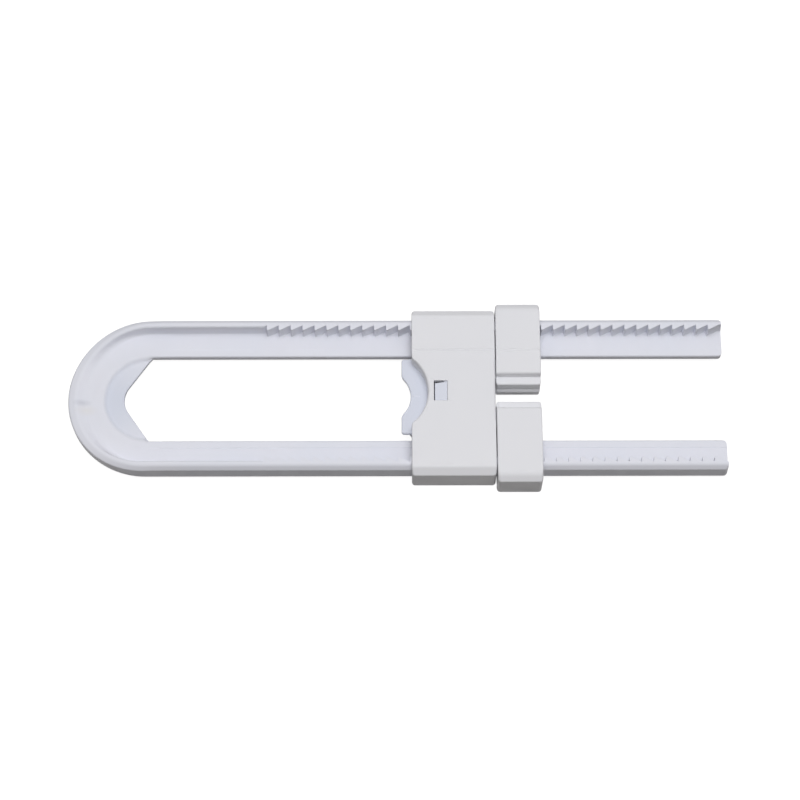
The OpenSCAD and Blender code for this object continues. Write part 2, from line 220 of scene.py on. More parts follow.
shellFinish = {
    **plastic, "colour": (0.888, 0.893, 0.920), "tint": (0.877, 0.884, 0.914), "tintSize": 22.0,
    "paintedShade": (1.0, 1.0, 1.0), "grain": 0.06, "marks": [],
}
wireFinish = {
    "colour": (0.56, 0.57, 0.60), "roughness": 0.28, "draw": 0.15,
    "drawSize": 0.2, "drawDetail": 4.0, "drawHeight": 0.25,
}


def newMaterial(name):
    material = bpy.data.materials.new(name)
    material.use_nodes = True
    nodes = material.node_tree.nodes
    return material, nodes, material.node_tree.links, nodes["Principled BSDF"]


def noise(nodes, links, place, size, detail=2.0):  # its patches are about as wide as the size
    texture = nodes.new("ShaderNodeTexNoise")
    texture.inputs["Scale"].default_value = 1 / (size * mm)
    texture.inputs["Detail"].default_value = detail
    links.new(place.outputs["Object"], texture.inputs["Vector"])
    return texture.outputs["Fac"]


# A relief of fine noise on the shader's normal, its height a part of its size
def relief(nodes, links, place, shader, strength, size, detail, height):
    bump = nodes.new("ShaderNodeBump")
    bump.inputs["Strength"].default_value = strength
    bump.inputs["Distance"].default_value = size * height * mm
    links.new(noise(nodes, links, place, size, detail), bump.inputs["Height"])
    links.new(bump.outputs["Normal"], shader.inputs["Normal"])


# A colour multiplied by a stain or by a painted shade, as far as the amount says
def stainedOrShaded(nodes, links, colour, amount, stainOrShade):
    mix = nodes.new("ShaderNodeMix")
    mix.data_type, mix.blend_type = "RGBA", "MULTIPLY"
    links.new(amount, mix.inputs[0])
    links.new(colour, mix.inputs[6])
    mix.inputs[7].default_value = (*stainOrShade, 1)
    return mix.outputs[2]


# Moulded plastic: a slow drift between two whites, painted shade on thin webs and recesses, stains, a
# slow change of gloss, a fine mould grain
def mouldedPlastic(name, finish):
    material, nodes, links, shader = newMaterial(name)
    place = nodes.new("ShaderNodeTexCoord")
    ramp = nodes.new("ShaderNodeValToRGB")
    whites = finish["tint"], finish["colour"]
    for stop, position, white in zip(ramp.color_ramp.elements, finish["driftSpan"], whites):
        stop.position = position
        stop.color = (*white, 1)
    links.new(noise(nodes, links, place, finish["tintSize"]), ramp.inputs["Fac"])
    paintedShade = nodes.new("ShaderNodeAttribute")  # painted shade: thin webs and recessed faces get a darker colour, standing in for the weaker light on them
    paintedShade.attribute_name = "paintedShade"
    colour = stainedOrShaded(nodes, links, ramp.outputs["Color"], paintedShade.outputs["Fac"], finish["paintedShade"])
    for mark in finish["marks"]:
        spot = nodes.new("ShaderNodeMapping")
        spot.vector_type = "TEXTURE"
        spot.inputs["Location"].default_value = np.array(mark["place"]) * mm
        spot.inputs["Scale"].default_value = np.array(mark["reach"]) * mm
        links.new(place.outputs["Object"], spot.inputs["Vector"])
        fade = nodes.new("ShaderNodeTexGradient")
        fade.gradient_type = "SPHERICAL"
        links.new(spot.outputs["Vector"], fade.inputs["Vector"])
        colour = stainedOrShaded(nodes, links, colour, fade.outputs["Fac"], mark["colour"])
    links.new(colour, shader.inputs["Base Color"])
    shader.inputs["Specular IOR Level"].default_value = finish["specular"]
    gloss = nodes.new("ShaderNodeMapRange")
    for end, span in (("From", finish["glossSpan"]), ("To", finish["roughness"])):
        gloss.inputs[end + " Min"].default_value = span[0]
        gloss.inputs[end + " Max"].default_value = span[1]
    glossSize = finish["tintSize"] / finish["glossFiner"]
    links.new(noise(nodes, links, place, glossSize), gloss.inputs["Value"])
    links.new(gloss.outputs["Result"], shader.inputs["Roughness"])
    relief(nodes, links, place, shader, finish["grain"], finish["grainSize"], finish["grainDetail"],
           finish["grainHeight"])
    return material


def drawnWire(name, finish):  # steel wire with fine marks of drawing
    material, nodes, links, shader = newMaterial(name)
    shader.inputs["Base Color"].default_value = (*finish["colour"], 1)
    shader.inputs["Metallic"].default_value = 1
    shader.inputs["Roughness"].default_value = finish["roughness"]
    place = nodes.new("ShaderNodeTexCoord")
    relief(nodes, links, place, shader, finish["draw"], finish["drawSize"], finish["drawDetail"],
           finish["drawHeight"])
    return material


bowPlastic = mouldedPlastic("bowPlastic", bowFinish)
shellPlastic = mouldedPlastic("shellPlastic", shellFinish)
springSteel = drawnWire("springSteel", wireFinish)
print("finishes ready")


# Bow: an L section carried down one leg, round the bend and up the other leg

bow = {
    "legWidth": 10.7, "plate": 2.4, "rim": 2.2, "plainRim": 2.75, "edge": 0.2,
    "bevelSoft": 1.6, "bevelEdge": 0.8, "toothBevelSoft": 1.5, "toothFoot": 0.4,
    "sideEdge": 0.4, "sideTop": 0.6, "endCorner": 1.4, "endLean": 0.45, "endFade": 3.0,
    "sink": 4.0, "sinkStart": 7.0, "sinkLength": 38.0, "lean": 2.6,
    # on the legs, and in the middle of the bend
    "bevelWidth": (1.25, 2.0), "bevelDrop": (1.6, 0.5), "rimEdge": (0.7, 2.5), "foot": (0.4, 3.0),
    "strip": 2.4, "stripRise": 0.15, "stripFade": 9.0,
    "teeth": 38, "pitch": 3.65, "setback": 0.9, "depth": 1.65, "tip": 0.3, "soft": 0.22,
    "steepHalf": 0.044,
    # webShadeEnds: the share of painted shade on the gusset where it meets the legs
    "gusset": 1.4, "gussetStep": 1.5, "gussetSlope": 1.0, "webShadeEnds": 0.25,
    "notchSetback": 17.0, "notchRadius": 7.0, "notchAngle": 55.0,
    # no step is lower than this, and no radius or slope takes a larger share of a short edge
    "least": 0.002, "radiusShare": 0.4, "slopeShare": 0.5,
    "bendSteps": 73, "plainSteps": 40, "endSteps": 9,
}


# Where the knob notch cuts the gusset, as a distance from the middle of the bend along a direction:
# the distance to the notch's straight side, or near the axis to its round bottom. The second value
# is where that side meets the legs
def notchReach(cosine, sine, bendX, tipX, legInner):
    radius = bow["notchRadius"]
    angle = np.radians(bow["notchAngle"])
    roundX = tipX + bow["notchSetback"] + radius - bendX
    side = np.array([roundX - radius * np.sin(angle), radius * np.cos(angle)])
    sine = np.abs(sine)
    toSide = side[0] * np.sin(angle) - side[1] * np.cos(angle)
    toSide = toSide / (cosine * np.sin(angle) - sine * np.cos(angle))
    ahead = cosine * roundX
    toRound = ahead + np.sqrt(np.maximum(ahead ** 2 - roundX ** 2 + radius ** 2, 0))
    mouthX = side[0] + (legInner - side[1]) / np.tan(angle)
    return np.where(toSide * sine > side[1], toSide, toRound), mouthX


# The rim's inner face along a leg, as places along it and distances from the middle: plain rim,
# slope to the first root, then for each tooth the end of the ramp before it, its root, its steep face,
# its tip and the start of its ramp
def rackKnots(endX, plain, root):
    soft, depth, pitch, tip = bow["soft"], bow["depth"], bow["pitch"], bow["tip"]
    face = bow["steepHalf"]
    apex = root - depth
    slope = depth / (pitch - tip)
    rackEnd = endX - bow["setback"]
    steep = rackEnd - pitch * np.arange(bow["teeth"], 0, -1)
    knotX = (steep[:, None] + np.array([-soft, -face, face, soft, tip])).ravel()
    knotV = np.tile([root - slope * soft, root, apex + soft, apex, apex], bow["teeth"])
    start = steep[0] - (root - plain) / slope
    return np.concatenate([[start], knotX, [rackEnd]]), np.concatenate([[plain], knotV, [root]])


def makeBow():
    low, high = boxOf("u_bow")
    half, base, top, tipX, endX = high[1], low[2], high[2], low[0], high[0]
    bendX = tipX + half
    inner = half - bow["legWidth"]
    root, plain = half - bow["rim"], half - bow["plainRim"]
    plateTop = base + bow["plate"]
    least = bow["least"]
    knotX, knotV = rackKnots(endX, plain, root)

    # stations along a leg, close together where the strip fades, at the teeth and at the round end
    corner = bow["endCorner"]
    roundEnd = endX - corner * (1 - np.sin(np.linspace(0, np.pi / 2, bow["endSteps"])))
    plainX = np.linspace(bendX, knotX[0], bow["plainSteps"])[1:-1]
    legX = np.unique(np.concatenate([plainX, knotX[knotX < endX - least], roundEnd]).round(4))

    # the path: upper leg from its end to the bend, half a turn, lower leg from the bend to its end
    turn = np.radians(np.linspace(90, 270, bow["bendSteps"]))
    pathX = np.concatenate([legX[::-1], np.full(len(turn), bendX), legX])
    cosine = np.concatenate([np.zeros(len(legX)), np.cos(turn), np.zeros(len(legX))])
    sine = np.concatenate([np.ones(len(legX)), np.sin(turn), -np.ones(len(legX))])
    onLeg = np.concatenate([np.ones(len(legX)), np.zeros(len(turn)), np.ones(len(legX))])

    # along the path: the rim's inner face, the raised strip, and how far the gusset reaches in
    rim = np.interp(pathX, knotX, knotV)
    rise = bow["stripRise"] * np.clip((pathX - bendX) / bow["stripFade"], 0, 1) + least
    reach, mouthX = notchReach(cosine, sine, bendX, tipX, inner)
    mouth = inner - (mouthX + bendX - pathX) * np.tan(np.radians(bow["notchAngle"]))
    ledge = np.maximum(inner - np.where(onLeg > 0, np.minimum(mouth, inner), reach), least)
    ledge = np.where((onLeg > 0) & (pathX > mouthX + bendX), least, ledge)

    # towards the middle of the bend the rim sinks, and its inner face runs out into the plate:
    # a smooth step over the distance along the path
    one = np.ones(len(pathX))
    toothed = pathX > knotX[0]
    run = bow["sinkStart"] - (pathX - bendX) + half * np.arcsin(np.abs(cosine))
    run = np.clip(run / bow["sinkLength"], 0, 1)
    sunk = run ** 2 * (3 - 2 * run)
    rimTop = top - bow["sink"] * sunk
    bevelWidth, bevelDrop, rimEdge, foot = [
        bow[name][0] * (1 - sunk) + bow[name][1] * sunk
        for name in ("bevelWidth", "bevelDrop", "rimEdge", "foot")]
    rimEdge = np.where(toothed, bow["edge"], rimEdge)
    foot = np.where(toothed, bow["toothFoot"], foot)
    lean = np.where(toothed, 0, bow["lean"] * sunk ** 2)
    bevelSoft = np.where(toothed, bow["toothBevelSoft"], bow["bevelSoft"])
    # the rim's inner edge takes no larger radius than the flat top has room for
    room = half - bevelWidth - rim - bevelSoft * np.tan(np.arctan2(bevelDrop, bevelWidth) / 2)
    rimEdge = np.minimum(rimEdge, room / np.tan(np.arctan2(rimTop - plateTop, lean) / 2))

    # the section: bottom, outer wall, bevel, rim, rim foot, plate, strip, step down to the gusset
    gussetTop = base + bow["gusset"]
    stripAt = inner + bow["strip"]
    slope = np.minimum(bow["gussetSlope"], bow["slopeShare"] * ledge)
    section = np.stack([
        np.stack([inner - ledge, base * one], -1),
        np.stack([half * one, base * one], -1),
        np.stack([half * one, rimTop - bevelDrop], -1),
        np.stack([half - bevelWidth, rimTop], -1),
        np.stack([rim, rimTop], -1),
        np.stack([rim - lean, plateTop * one], -1),
        np.stack([stripAt * one, plateTop * one], -1),
        np.stack([stripAt * one, plateTop + rise], -1),
        np.stack([inner * one, plateTop + rise], -1),
        np.stack([inner - slope, gussetTop * one], -1),
        np.stack([inner - ledge, gussetTop * one], -1),
    ], 1)
    edge, sideEdge, share = bow["edge"], bow["sideEdge"], bow["radiusShare"]
    radii = np.stack([
        sideEdge * one, edge * one, bow["bevelEdge"] * one, bevelSoft, rimEdge, foot,
        share * rise, share * rise, np.where(onLeg > 0, bow["sideTop"], bow["gussetStep"]),
        np.minimum(bow["gussetStep"], share * ledge), np.minimum(sideEdge, share * ledge),
    ], 1)
    loop = roundCorners(section, radii, steps=5)

    # painted shade on the gusset's face, less towards the legs
    webShade = bow["webShadeEnds"] + (1 - bow["webShadeEnds"]) * cosine[:, None] ** 2
    onWeb = np.clip((inner - loop[..., 0]) / bow["gussetSlope"], 0, 1)
    paintedShade = webShade * onWeb * (loop[..., 1] > base + edge)

    # the leg ends: a round corner on both sides of the leg, seen from the front, and a rim that
    # leans back a little
    fromEnd = np.clip(endX - pathX, 0, corner)
    cut = (corner - np.sqrt(corner ** 2 - (corner - fromEnd) ** 2))[:, None]
    across = np.clip(loop[..., 0], inner - ledge[:, None] + cut, half - cut)
    nearEnd = np.clip(1 - (endX - pathX) / bow["endFade"], 0, 1)[:, None]
    setBack = bow["endLean"] * nearEnd * np.clip((loop[..., 1] - plateTop) / (top - plateTop), 0, 1)
    grid = np.stack([
        pathX[:, None] + across * cosine[:, None] - setBack,
        across * sine[:, None],
        loop[..., 1],
    ], -1)
    makePiece("bowRail", [tube(grid)], "bow", ["u_bow"], bowPlastic, [paintedShade.ravel()])


makeBow()


# Housing: a slab bent over the slider, with the scoop at one end and the window

housing = {
    "sideWall": 2.1, "frontWall": 1.7, "innerFillet": 0.3, "footEdge": 0.5,
    "bevelWidth": 2.3, "bevelDrop": 1.75, "bevelSoft": 1.4, "bevelEdge": 0.7,
    "corner": 1.0, "edge": 0.3, "innerEdge": 0.12,
    "scoopWidth": 20.8, "scoopDepth": 4.9, "scoopWall": 1.5, "scoopSoft": 0.5, "scoopReach": 2.0,
    "scoopFoot": 6.1, "scoopEdge": 0.8, "scoopFade": 1.5,
    "windowSetback": 1.8, "windowLength": 4.1, "windowWidth": 6.4, "windowEdge": 0.18,
    "shelf": 0.9, "shelfDrop": 0.85, "shelfLap": 0.2,
    "ribInner": 12.2, "ribOuter": 13.3, "backPlate": 1.5, "endWall": 1.5, "wallEdge": 0.15,
    "slotInner": 2.8, "slotOuter": 11.0, "slotTop": 8.3,
    "sinkAt": 13.15, "sinkWidth": 0.3, "sinkDepth": 0.26, "knitWidth": 0.15, "knitDepth": 0.06,
    "lap": 0.6, "inset": 0.05,
    # the mesh: lines over the front, at the scoop's mouth and over a sink or knit line, then steps
    "frontLines": 40, "frontStart": 0.3, "mouthLines": 13, "mouthSpan": 1.5,
    "fineLines": 9, "fineSpan": 2,
    "rimSteps": 4, "footSteps": 5, "wallSteps": 7, "endSteps": 6, "faceSteps": 8,
}


# The rounded corner of an open line: the points of its arc alone
def cornerArc(before, corner, after, radius, steps):
    corners, sharp = np.array([before, corner, after], float), surface["leastRadius"]
    return roundCorners(corners, np.array([sharp, radius, sharp]), steps)[steps:2 * steps]


def scoopCircle(left):  # centre and radius of the circle through the mouth and the bottom of the scoop
    width, depth = housing["scoopWidth"], housing["scoopDepth"]
    radius = (width ** 2 / 4 + depth ** 2) / (2 * depth)
    return left + depth - radius, radius


def windowPlace(left):  # left and right end of the window, and half its width
    start = left + housing["scoopDepth"] + housing["windowSetback"]
    return start, start + housing["windowLength"], housing["windowWidth"] / 2


def makeHousing():
    low, high = boxOf("slider_front_shell")
    left, right, half, top = low[0], high[0], high[1], high[2]
    width, hollow, foot = housing["bevelWidth"], housing["innerFillet"], housing["footEdge"]
    frontY, inside = half - width, half - housing["sideWall"]
    wallTop = top - housing["bevelDrop"]
    ceiling = top - housing["frontWall"]
    scoopX, scoopR = scoopCircle(left)
    windowL, windowR, windowY = windowPlace(left)
    soft = housing["windowEdge"]

    # lines over the front, closer at the window's rim, the sink and knit lines and the scoop's mouth
    softSteps = soft * (1 - np.sin(np.linspace(0, np.pi / 2, housing["rimSteps"])))
    fine = housing["fineSpan"] * np.linspace(-1, 1, housing["fineLines"])
    across = np.concatenate([
        np.linspace(housing["frontStart"], frontY - housing["bevelSoft"] / 2, housing["frontLines"]),
        windowY + softSteps,
        housing["sinkAt"] + housing["sinkWidth"] * fine,
        windowY + housing["knitWidth"] * fine,
        housing["scoopWidth"] / 2 + housing["mouthSpan"] * np.linspace(-1, 1, housing["mouthLines"]),
    ])
    across = np.unique(np.concatenate([-across, across]).round(4))

    # outer and inner profile of the wall, from the lower foot over the front to the upper foot
    turn = np.linspace(0, np.pi / 2, housing["footSteps"])
    wallZ = np.linspace(foot, wallTop - housing["bevelEdge"], housing["wallSteps"])[1:-1]
    outerSide = np.concatenate([
        np.stack([half - foot + foot * np.sin(turn), foot - foot * np.cos(turn)], -1),
        np.stack([np.full(len(wallZ), half), wallZ], -1),
        cornerArc((half, foot), (half, wallTop), (frontY, top), housing["bevelEdge"], steps=5),
        cornerArc((half, wallTop), (frontY, top), (0, top), housing["bevelSoft"], steps=6),
    ])
    innerZ = np.concatenate([np.linspace(0, foot, len(turn)), wallZ])
    hollowTurn = np.linspace(0, np.pi / 2, len(outerSide) - len(innerZ))
    innerSide = np.concatenate([
        np.stack([np.full(len(innerZ), inside), innerZ], -1),
        np.stack([inside - hollow + hollow * np.cos(hollowTurn),
                  ceiling - hollow + hollow * np.sin(hollowTurn)], -1),
    ])
    flip = np.array([-1, 1])
    middle = across[1:-1]
    frontLine = np.stack([middle, np.full(len(middle), top)], -1)
    ceilingY = np.clip(middle, hollow - inside, inside - hollow)
    ceilingLine = np.stack([ceilingY, np.full(len(middle), ceiling)], -1)
    outer = np.concatenate([outerSide * flip, frontLine, outerSide[::-1]])
    inner = np.concatenate([innerSide * flip, ceilingLine, innerSide[::-1]])
    y = outer[:, :1]

    # the left end follows the scoop: the larger of the straight end and the circle, blended near
    # the scoop's mouth, which also rounds its edge more
    circle = scoopX + np.sqrt(np.maximum(scoopR ** 2 - y ** 2, 0))
    leftX = (left + circle + np.sqrt((left - circle) ** 2 + housing["scoopSoft"] ** 2)) / 2
    leftX = np.where(circle - left < -housing["scoopReach"], left, leftX)
    rise = np.clip((np.abs(y) - frontY) / width, 0, 1)
    inScoop = np.clip((circle - left) / housing["scoopFade"], 0, 1)
    rounding = housing["edge"] + (housing["corner"] - housing["edge"]) * rise
    rounding += (housing["scoopEdge"] - housing["edge"]) * inScoop

    # one ring of the slab: left end, outer face, right end, inner face
    turn = np.linspace(0, np.pi / 2, housing["endSteps"])
    one = np.ones_like(y)
    endIn, endBack = rounding * (1 - np.sin(turn)), rounding * (1 - np.cos(turn))
    nearWindow = np.concatenate([windowL - softSteps, windowR + softSteps[::-1]])
    share = np.linspace(0, 1, housing["faceSteps"])[1:-1]
    faceX = np.concatenate([
        leftX + rounding + share * (windowL - soft - leftX - rounding),
        nearWindow * one,
        windowR + soft + share * (right - rounding - windowR - soft),
    ], 1)
    lip = housing["innerEdge"]
    thickness = np.linalg.norm(inner - outer, axis=-1, keepdims=True)
    ringX = np.concatenate([
        leftX + endBack, faceX, right - endBack[:, ::-1],
        right * one, right - lip * one, faceX[:, ::-1], leftX + lip, leftX,
    ], 1)
    ringIn = np.concatenate([
        endIn, 0 * faceX, endIn[:, ::-1],
        thickness - lip, thickness, thickness * np.ones_like(faceX), thickness, thickness - lip,
    ], 1)
    share = (ringIn / thickness)[..., None]
    wall = outer[:, None] * (1 - share) + inner[:, None] * share
    grid = np.concatenate([ringX[..., None], wall], -1)

    # on the outer face only: the window's rounded rim, the faint sink line over the upper rib,
    # and the knit line that runs from the window's upper corner to the scoop
    outside = (ringIn < tiny) & (np.abs(y) <= frontY)
    off = np.maximum(np.maximum(windowL - ringX, ringX - windowR), np.abs(y) - windowY)
    off = np.clip(off, 0, soft)
    rimDrop = soft - np.sqrt(soft ** 2 - (soft - off) ** 2)
    sinkDrop = housing["sinkDepth"] * np.exp(-((y - housing["sinkAt"]) / housing["sinkWidth"]) ** 2)
    knitDrop = housing["knitDepth"] * np.exp(-((y - windowY) / housing["knitWidth"]) ** 2)
    knitDrop = np.where(ringX < windowL - soft, knitDrop, 0)
    grid[..., 2] -= np.where(outside, rimDrop + sinkDrop + knitDrop, 0)

    # faces, with the window left open through both faces and walled between them
    points, faces = tube(grid)
    rings, count = ringX.shape
    firstFace = len(turn)
    columns = firstFace + np.arange(faceX.shape[1])
    innerFirst = firstFace + faceX.shape[1] + len(turn) + 2
    opposite = innerFirst + faceX.shape[1] - 1 - np.arange(faceX.shape[1])
    middleX = faceX[rings // 2]
    openX = np.flatnonzero((middleX > windowL - tiny) & (middleX < windowR + tiny))
    openS = np.flatnonzero(np.abs(outer[:, 0]) < windowY + tiny)
    index = np.arange(rings * count).reshape(rings, count)
    front = index[np.ix_(openS, columns[openX])]
    back = index[np.ix_(openS, opposite[openX])]
    hole = set(front[:-1, :-1].ravel().tolist()) | set(back[:-1, 1:].ravel().tolist())
    faces = [face for face in faces if len(face) > 4 or face[0] not in hole]
    edgeA = np.concatenate([front[0, :-1], front[:-1, -1], front[-1, :0:-1], front[:0:-1, 0]])
    edgeB = np.concatenate([back[0, :-1], back[:-1, -1], back[-1, :0:-1], back[:0:-1, 0]])
    wallQuads = np.stack([edgeA, np.roll(edgeA, -1), np.roll(edgeB, -1), edgeB], -1)
    shells = [(points, faces + wallQuads.tolist())]

    # inside: the wall of the scoop, the ribs beside the legs, the end wall with its slots, the shelf
    lap, inset, edge = housing["lap"], housing["inset"], housing["wallEdge"]
    scoopOuter = scoopR + housing["scoopWall"]
    outerEnd, innerEnd = np.degrees(np.arccos((left + inset - scoopX) / np.array([scoopOuter, scoopR])))
    ring = np.concatenate([
        arc((scoopX, 0), scoopOuter, -outerEnd, outerEnd),
        arc((scoopX, 0), scoopR, innerEnd, -innerEnd),
    ])
    shells.append(plate(ring, housing["scoopFoot"], ceiling + lap, edge))
    plateTop, endInside = housing["backPlate"], right - housing["endWall"]
    ribLow = (left + inset, housing["ribInner"], plateTop)
    ribHigh = (endInside + lap, housing["ribOuter"], ceiling + lap)
    rib = [block(ribLow, ribHigh, edge, edge, "x")]
    shells += rib + mirrored(rib)
    outerY, slotA, slotB = housing["ribOuter"], housing["slotInner"], housing["slotOuter"]
    slotTop, combTop = housing["slotTop"], ceiling + lap
    comb = [(outerY, plateTop), (outerY, combTop), (-outerY, combTop), (-outerY, plateTop)]
    comb += [(-slotB, plateTop), (-slotB, slotTop), (-slotA, slotTop), (-slotA, plateTop)]
    comb += [(slotA, plateTop), (slotA, slotTop), (slotB, slotTop), (slotB, plateTop)]
    shells.append(bar(comb, [edge] * len(comb), endInside, right - inset, edge, "x"))
    shelfLap = housing["shelfLap"]
    shelfLow = (windowR - housing["shelf"], -windowY - shelfLap, ceiling)
    shelfHigh = (windowR + shelfLap, windowY + shelfLap, top - housing["shelfDrop"])
    shells.append(block(shelfLow, shelfHigh, inset, inset))
    makePiece("housingShell", shells, "slider", ["slider_front_shell"], shellPlastic)


makeHousing()


# Back shell: back plate, knob rest on its curved wall, snap tongue, spring rib and two sills

backShell = {
    "plate": 1.5, "edge": 0.25, "restLevel": 6.0, "restThickness": 1.4, "restEdge": 0.4,
    "restHalf": 12.1, "restNotchDepth": 2.8, "restNotchRadius": 8.0, "restLobe": 3.0, "restCorner": 0.8,
    "tongueGap": 0.3, "tongueSlant": 0.5, "tongueRecess": 0.35, "tongueFit": 0.1, "tongueEdge": 0.12,
    "nib": 0.4, "ribLength": 6.3, "ribHalf": 1.0, "ribTop": 9.2, "ribEdge": 0.15, "clearance": 0.3,
    "spigot": 1.1, "spigotReach": 2.2, "spigotEdge": 0.2, "sill": (2.9, 10.9), "sillTop": 4.5,
    "knitLength": 2.2, "knitWidth": 0.3, "knitHeight": 0.07, "knitEdge": 0.06,
    # how much painted shade the knob rest, its knit line and the snap tongue take
    "restShade": 0.75, "knitShade": 0.3, "tongueShade": 0.6, "sunk": 0.3, "inset": 0.05,
}


# The knob rest seen from the front: straight left edge, two lobes that roll into a round notch,
# and on the right the back of its carrying wall
def restOutline(restLeft, scoopX, outside):
    half, corner = backShell["restHalf"], backShell["restCorner"]
    lobe, notch = backShell["restLobe"], backShell["restNotchRadius"]
    notchX = restLeft + backShell["restNotchDepth"] - notch
    lobeX = restLeft + lobe
    lobeY = np.sqrt((notch + lobe) ** 2 - (lobeX - notchX) ** 2)
    lean = np.degrees(np.arctan2(lobeY, lobeX - notchX))
    wide = np.degrees(np.arcsin(half / outside))
    return np.concatenate([
        arc((scoopX, 0), outside, -wide, wide),
        arc((restLeft + corner, half - corner), corner, 90, 180, steps=10),
        arc((lobeX, lobeY), lobe, 180, 180 + lean, steps=16),
        arc((notchX, 0), notch, lean, -lean)[1:-1],
        arc((lobeX, -lobeY), lobe, 180 - lean, 180, steps=16),
        arc((restLeft + corner, corner - half), corner, 180, 270, steps=10),
    ])


def makeBackShell():
    low, high = boxOf("slider_back_shell")
    shellLow, shellHigh = boxOf("slider_front_shell")
    left, right, top, half = shellLow[0], shellHigh[0], shellHigh[2], high[1]
    scoopX, scoopR = scoopCircle(left)
    outside = scoopR + housing["scoopWall"]
    level, edge, sunk = backShell["restLevel"], backShell["edge"], backShell["sunk"]
    plateTop = backShell["plate"]
    base = block((left, -half, 0), (right, half, plateTop), edge, edge)
    restBase = level - backShell["restThickness"]
    rest = plate(restOutline(low[0], scoopX, outside), restBase, level, backShell["restEdge"])
    wide = np.degrees(np.arcsin(backShell["restHalf"] / outside))
    wall = np.concatenate([
        arc((scoopX, 0), outside - backShell["inset"], -wide, wide),
        arc((scoopX, 0), scoopR, wide, -wide),
    ])
    wall = plate(wall, plateTop - sunk, level - sunk, backShell["ribEdge"])

    # the fine knit line over the rest, from the bottom of its notch
    knitX = low[0] + backShell["restNotchDepth"] + backShell["restEdge"]
    knit, knitEdge = backShell["knitWidth"] / 2, backShell["knitEdge"]
    knitEnd = (knitX + backShell["knitLength"], knit, level + backShell["knitHeight"])
    knitLine = block((knitX, -knit, level - sunk), knitEnd, knitEdge, knitEdge)

    # the tongue: a stem, and a head with a slanted corner that reaches over the shelf
    fit, gap, slant = backShell["tongueFit"], backShell["tongueGap"], backShell["tongueSlant"]
    windowL, windowR, windowY = windowPlace(left)
    x0, x1, headX = windowL + gap, windowR - housing["shelf"] - fit, windowR - fit
    y0, y1 = fit - windowY, windowY - gap
    tongueTop, tongueEdge = top - backShell["tongueRecess"], backShell["tongueEdge"]
    lean = slant * (x1 - x0) / (headX - x0)
    stem = [(x0, y0), (x1, y0), (x1, y1 - slant + lean), (x0, y1 - slant)]
    head = [(x0, y0), (headX, y0), (headX, y1), (x0, y1 - slant)]
    headBase = tongueTop - backShell["nib"]
    tongue = [bar(stem, [tongueEdge] * 4, plateTop - sunk, headBase + tongueEdge, tongueEdge, "z"),
              bar(head, [tongueEdge] * 4, headBase, tongueTop, tongueEdge, "z")]

    # the rib between the springs, with a spigot for each, and the sills under the button arms
    ribEdge = backShell["ribEdge"]
    ribRight = right - housing["endWall"] - backShell["clearance"]
    ribLow = (ribRight - backShell["ribLength"], -backShell["ribHalf"], plateTop - sunk)
    rib = block(ribLow, (ribRight, backShell["ribHalf"], backShell["ribTop"]), ribEdge, ribEdge)
    springLow, springHigh = boxOf("upper_spring")
    springX, _, springZ = (springLow + springHigh) / 2
    pin = arc((springX, springZ), backShell["spigot"], 0, 360, steps=25)[:-1]
    reach = backShell["spigotReach"]
    pinPoints, pinFaces = plate(pin, -reach, reach, backShell["spigotEdge"])
    spigots = (alongAxis(pinPoints, "y"), pinFaces)
    sillLow = (right - housing["endWall"], backShell["sill"][0], plateTop - sunk)
    sillHigh = (right - backShell["inset"], backShell["sill"][1], backShell["sillTop"])
    sill = [block(sillLow, sillHigh, ribEdge, ribEdge)]
    thick = [base, wall, rib, spigots, *sill, *mirrored(sill)]
    # painted shade on the rest, the knit line and the tongue, none on the other pieces
    paintedShade = [backShell["restShade"], backShell["knitShade"]]
    paintedShade += [backShell["tongueShade"]] * len(tongue) + [0.0] * len(thick)
    makePiece("backShell", [rest, knitLine, *tongue, *thick], "slider", ["slider_back_shell"],
              bowPlastic, paintedShade)


makeBackShell()


# Buttons: cap, pawl carrier and back, drawn on the upper leg

button = {
    "wall": 2.15, "edge": 0.35, "corner": 1.1, "innerCorner": 0.7, "small": 0.2, "footEdge": 0.2,
    "innerEdge": 0.8, "innerLean": 0.25,
    "bevelWidth": 2.1, "bevelDrop": 1.6, "bevelSoft": 3.0, "bevelEdge": 0.8,
    "ledgeLevel": 8.7, "ledgeEdge": 0.5, "ceiling": 9.5, "pawlRoot": 20.15, "pawlTop": 21.85,
    "pawlBase": 4.5, "legPassage": 13.3, "backLayer": 4.8, "backPlate": 1.5,
    "partingLevel": 4.0, "partingEdge": 0.25,
    "mesh": 0.25, "pawlSetback": 6.5, "pawlTeeth": 2, "pawlBody": 2.9,
    "pawlEdge": 0.04, "pawlInset": 0.1, "pawlLap": 0.5,
    "arm": (4.9, 10.9), "armTop": 8.0, "armRoot": 0.8, "armReach": 1.6,
    "carriage": 6.3, "carriageY": (9.0, 11.9), "carriageZ": (1.8, 9.2), "carriageEdge": 0.2,
    "pocketDepth": 1.2, "pocketRadius": 2.1, "pocketEdge": 0.12, "pocketSides": 48,
    "sinkAt": 13.1, "sinkWidth": 0.45, "sinkDepth": (0.18, 0.002),  # upper and lower cap
}


